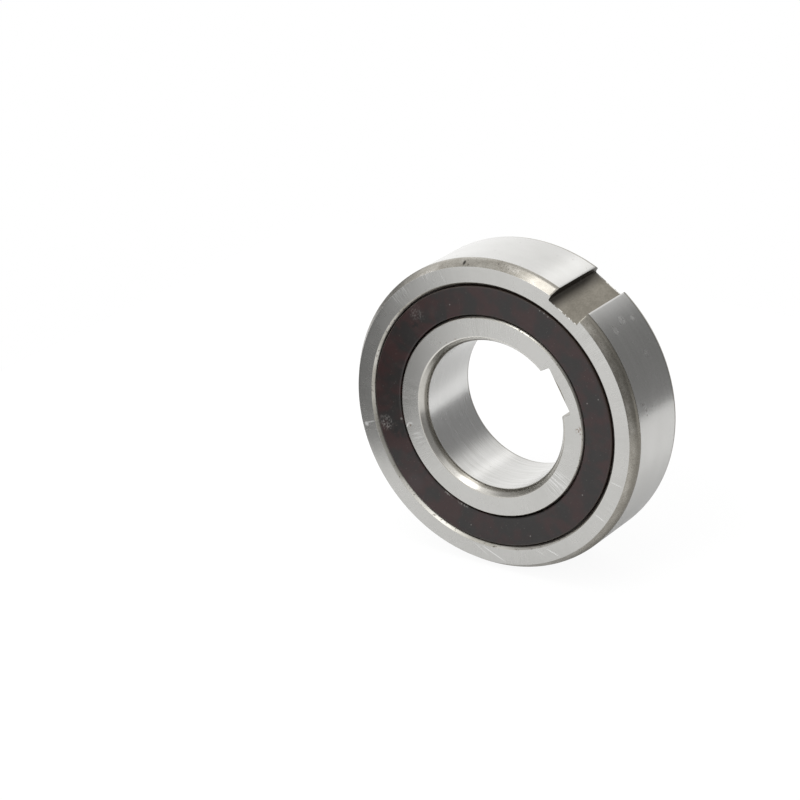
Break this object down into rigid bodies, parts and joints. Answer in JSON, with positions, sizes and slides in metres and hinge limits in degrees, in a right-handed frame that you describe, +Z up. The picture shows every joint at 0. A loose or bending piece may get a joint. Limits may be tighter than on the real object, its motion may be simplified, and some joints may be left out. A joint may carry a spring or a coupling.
{
  "type": "one-way ball bearing",
  "caption": "One-way ball bearing with caged sprags between the balls, two pressed shields, and a keyway across the outside and in the bore.",
  "frame": {"origin": "centre of the bearing, on the spin axis and halfway between the two faces", "axes": "+Y along the spin axis, from the front face to the rear face; +Z up, +X to the right seen from the front; the bearing stands on its outside"},
  "size_m": [0.052, 0.015, 0.052],
  "materials": {
    "ring_steel": "ground",
    "shield_steel": "black oxide, semi-gloss",
    "ball_steel": "polished",
    "sprag_steel": "ground",
    "spring_steel": "drawn wire",
    "cage_polyamide": "moulded"
  },
  "bodies": {
    "outer_body": {"outer_ring": "ring_steel", "front_shield": "shield_steel", "rear_shield": "shield_steel"},
    "inner_body": {"inner_ring": "ring_steel"},
    "cage_body": {"cage": "cage_polyamide", "front_garter_spring": "spring_steel", "rear_garter_spring": "spring_steel"},
    "ball_01_body": {"ball_01": "ball_steel"},
    "ball_02_body": {"ball_02": "ball_steel"},
    "ball_03_body": {"ball_03": "ball_steel"},
    "ball_04_body": {"ball_04": "ball_steel"},
    "ball_05_body": {"ball_05": "ball_steel"},
    "ball_06_body": {"ball_06": "ball_steel"},
    "ball_07_body": {"ball_07": "ball_steel"},
    "ball_08_body": {"ball_08": "ball_steel"},
    "sprag_01_body": {"sprag_01": "sprag_steel"},
    "sprag_02_body": {"sprag_02": "sprag_steel"},
    "sprag_03_body": {"sprag_03": "sprag_steel"},
    "sprag_04_body": {"sprag_04": "sprag_steel"},
    "sprag_05_body": {"sprag_05": "sprag_steel"},
    "sprag_06_body": {"sprag_06": "sprag_steel"},
    "sprag_07_body": {"sprag_07": "sprag_steel"},
    "sprag_08_body": {"sprag_08": "sprag_steel"},
    "sprag_09_body": {"sprag_09": "sprag_steel"},
    "sprag_10_body": {"sprag_10": "sprag_steel"},
    "sprag_11_body": {"sprag_11": "sprag_steel"},
    "sprag_12_body": {"sprag_12": "sprag_steel"},
    "sprag_13_body": {"sprag_13": "sprag_steel"},
    "sprag_14_body": {"sprag_14": "sprag_steel"},
    "sprag_15_body": {"sprag_15": "sprag_steel"},
    "sprag_16_body": {"sprag_16": "sprag_steel"}
  },
  "joints": [
    {"name": "inner_ring_spin", "type": "hinge", "parent": "outer_body", "child": "inner_body", "pos_m": [0, 0, 0], "axis": [0, 1, 0], "range_deg": [0, 900]},
    {"name": "cage_orbit", "type": "hinge", "parent": "outer_body", "child": "cage_body", "pos_m": [0, 0, 0], "axis": [0, 1, 0], "range_deg": [0, 367]},
    {"name": "ball_spin_01", "type": "hinge", "parent": "cage_body", "child": "ball_01_body", "pos_m": [0.01925, 0, 0], "axis": [0, 1, 0], "range_deg": [-2342, 0]},
    {"name": "ball_spin_02", "type": "hinge", "parent": "cage_body", "child": "ball_02_body", "pos_m": [0.01361, 0, 0.01361], "axis": [0, 1, 0], "range_deg": [-2342, 0]},
    {"name": "ball_spin_03", "type": "hinge", "parent": "cage_body", "child": "ball_03_body", "pos_m": [0, 0, 0.01925], "axis": [0, 1, 0], "range_deg": [-2342, 0]},
    {"name": "ball_spin_04", "type": "hinge", "parent": "cage_body", "child": "ball_04_body", "pos_m": [-0.01361, 0, 0.01361], "axis": [0, 1, 0], "range_deg": [-2342, 0]},
    {"name": "ball_spin_05", "type": "hinge", "parent": "cage_body", "child": "ball_05_body", "pos_m": [-0.01925, 0, 0], "axis": [0, 1, 0], "range_deg": [-2342, 0]},
    {"name": "ball_spin_06", "type": "hinge", "parent": "cage_body", "child": "ball_06_body", "pos_m": [-0.01361, 0, -0.01361], "axis": [0, 1, 0], "range_deg": [-2342, 0]},
    {"name": "ball_spin_07", "type": "hinge", "parent": "cage_body", "child": "ball_07_body", "pos_m": [0, 0, -0.01925], "axis": [0, 1, 0], "range_deg": [-2342, 0]},
    {"name": "ball_spin_08", "type": "hinge", "parent": "cage_body", "child": "ball_08_body", "pos_m": [0.01361, 0, -0.01361], "axis": [0, 1, 0], "range_deg": [-2342, 0]},
    {"name": "sprag_tilt_01", "type": "hinge", "parent": "cage_body", "child": "sprag_01_body", "pos_m": [0.01837, 0, 0.00575], "axis": [0, 1, 0], "range_deg": [-4, 0], "stiffness_Nm_per_rad": 0.0002, "springref_deg": 2.86},
    {"name": "sprag_tilt_02", "type": "hinge", "parent": "cage_body", "child": "sprag_02_body", "pos_m": [0.01705, 0, 0.00893], "axis": [0, 1, 0], "range_deg": [-4, 0], "stiffness_Nm_per_rad": 0.0002, "springref_deg": 2.86},
    {"name": "sprag_tilt_03", "type": "hinge", "parent": "cage_body", "child": "sprag_03_body", "pos_m": [0.00893, 0, 0.01705], "axis": [0, 1, 0], "range_deg": [-4, 0], "stiffness_Nm_per_rad": 0.0002, "springref_deg": 2.86},
    {"name": "sprag_tilt_04", "type": "hinge", "parent": "cage_body", "child": "sprag_04_body", "pos_m": [0.00575, 0, 0.01837], "axis": [0, 1, 0], "range_deg": [-4, 0], "stiffness_Nm_per_rad": 0.0002, "springref_deg": 2.86},
    {"name": "sprag_tilt_05", "type": "hinge", "parent": "cage_body", "child": "sprag_05_body", "pos_m": [-0.00575, 0, 0.01837], "axis": [0, 1, 0], "range_deg": [-4, 0], "stiffness_Nm_per_rad": 0.0002, "springref_deg": 2.86},
    {"name": "sprag_tilt_06", "type": "hinge", "parent": "cage_body", "child": "sprag_06_body", "pos_m": [-0.00893, 0, 0.01705], "axis": [0, 1, 0], "range_deg": [-4, 0], "stiffness_Nm_per_rad": 0.0002, "springref_deg": 2.86},
    {"name": "sprag_tilt_07", "type": "hinge", "parent": "cage_body", "child": "sprag_07_body", "pos_m": [-0.01705, 0, 0.00893], "axis": [0, 1, 0], "range_deg": [-4, 0], "stiffness_Nm_per_rad": 0.0002, "springref_deg": 2.86},
    {"name": "sprag_tilt_08", "type": "hinge", "parent": "cage_body", "child": "sprag_08_body", "pos_m": [-0.01837, 0, 0.00575], "axis": [0, 1, 0], "range_deg": [-4, 0], "stiffness_Nm_per_rad": 0.0002, "springref_deg": 2.86},
    {"name": "sprag_tilt_09", "type": "hinge", "parent": "cage_body", "child": "sprag_09_body", "pos_m": [-0.01837, 0, -0.00575], "axis": [0, 1, 0], "range_deg": [-4, 0], "stiffness_Nm_per_rad": 0.0002, "springref_deg": 2.86},
    {"name": "sprag_tilt_10", "type": "hinge", "parent": "cage_body", "child": "sprag_10_body", "pos_m": [-0.01705, 0, -0.00893], "axis": [0, 1, 0], "range_deg": [-4, 0], "stiffness_Nm_per_rad": 0.0002, "springref_deg": 2.86},
    {"name": "sprag_tilt_11", "type": "hinge", "parent": "cage_body", "child": "sprag_11_body", "pos_m": [-0.00893, 0, -0.01705], "axis": [0, 1, 0], "range_deg": [-4, 0], "stiffness_Nm_per_rad": 0.0002, "springref_deg": 2.86},
    {"name": "sprag_tilt_12", "type": "hinge", "parent": "cage_body", "child": "sprag_12_body", "pos_m": [-0.00575, 0, -0.01837], "axis": [0, 1, 0], "range_deg": [-4, 0], "stiffness_Nm_per_rad": 0.0002, "springref_deg": 2.86},
    {"name": "sprag_tilt_13", "type": "hinge", "parent": "cage_body", "child": "sprag_13_body", "pos_m": [0.00575, 0, -0.01837], "axis": [0, 1, 0], "range_deg": [-4, 0], "stiffness_Nm_per_rad": 0.0002, "springref_deg": 2.86},
    {"name": "sprag_tilt_14", "type": "hinge", "parent": "cage_body", "child": "sprag_14_body", "pos_m": [0.00893, 0, -0.01705], "axis": [0, 1, 0], "range_deg": [-4, 0], "stiffness_Nm_per_rad": 0.0002, "springref_deg": 2.86},
    {"name": "sprag_tilt_15", "type": "hinge", "parent": "cage_body", "child": "sprag_15_body", "pos_m": [0.01705, 0, -0.00893], "axis": [0, 1, 0], "range_deg": [-4, 0], "stiffness_Nm_per_rad": 0.0002, "springref_deg": 2.86},
    {"name": "sprag_tilt_16", "type": "hinge", "parent": "cage_body", "child": "sprag_16_body", "pos_m": [0.01837, 0, -0.00575], "axis": [0, 1, 0], "range_deg": [-4, 0], "stiffness_Nm_per_rad": 0.0002, "springref_deg": 2.86}
  ],
  "couplings": [
    {"joint": "cage_orbit", "follows": "inner_ring_spin", "ratio": 0.40722},
    {"joint": "ball_spin_01", "follows": "inner_ring_spin", "ratio": -2.6018},
    {"joint": "ball_spin_02", "follows": "inner_ring_spin", "ratio": -2.6018},
    {"joint": "ball_spin_03", "follows": "inner_ring_spin", "ratio": -2.6018},
    {"joint": "ball_spin_04", "follows": "inner_ring_spin", "ratio": -2.6018},
    {"joint": "ball_spin_05", "follows": "inner_ring_spin", "ratio": -2.6018},
    {"joint": "ball_spin_06", "follows": "inner_ring_spin", "ratio": -2.6018},
    {"joint": "ball_spin_07", "follows": "inner_ring_spin", "ratio": -2.6018},
    {"joint": "ball_spin_08", "follows": "inner_ring_spin", "ratio": -2.6018},
    {"joint": "sprag_tilt_02", "follows": "sprag_tilt_01", "ratio": 1},
    {"joint": "sprag_tilt_03", "follows": "sprag_tilt_01", "ratio": 1},
    {"joint": "sprag_tilt_04", "follows": "sprag_tilt_01", "ratio": 1},
    {"joint": "sprag_tilt_05", "follows": "sprag_tilt_01", "ratio": 1},
    {"joint": "sprag_tilt_06", "follows": "sprag_tilt_01", "ratio": 1},
    {"joint": "sprag_tilt_07", "follows": "sprag_tilt_01", "ratio": 1},
    {"joint": "sprag_tilt_08", "follows": "sprag_tilt_01", "ratio": 1},
    {"joint": "sprag_tilt_09", "follows": "sprag_tilt_01", "ratio": 1},
    {"joint": "sprag_tilt_10", "follows": "sprag_tilt_01", "ratio": 1},
    {"joint": "sprag_tilt_11", "follows": "sprag_tilt_01", "ratio": 1},
    {"joint": "sprag_tilt_12", "follows": "sprag_tilt_01", "ratio": 1},
    {"joint": "sprag_tilt_13", "follows": "sprag_tilt_01", "ratio": 1},
    {"joint": "sprag_tilt_14", "follows": "sprag_tilt_01", "ratio": 1},
    {"joint": "sprag_tilt_15", "follows": "sprag_tilt_01", "ratio": 1},
    {"joint": "sprag_tilt_16", "follows": "sprag_tilt_01", "ratio": 1}
  ]
}
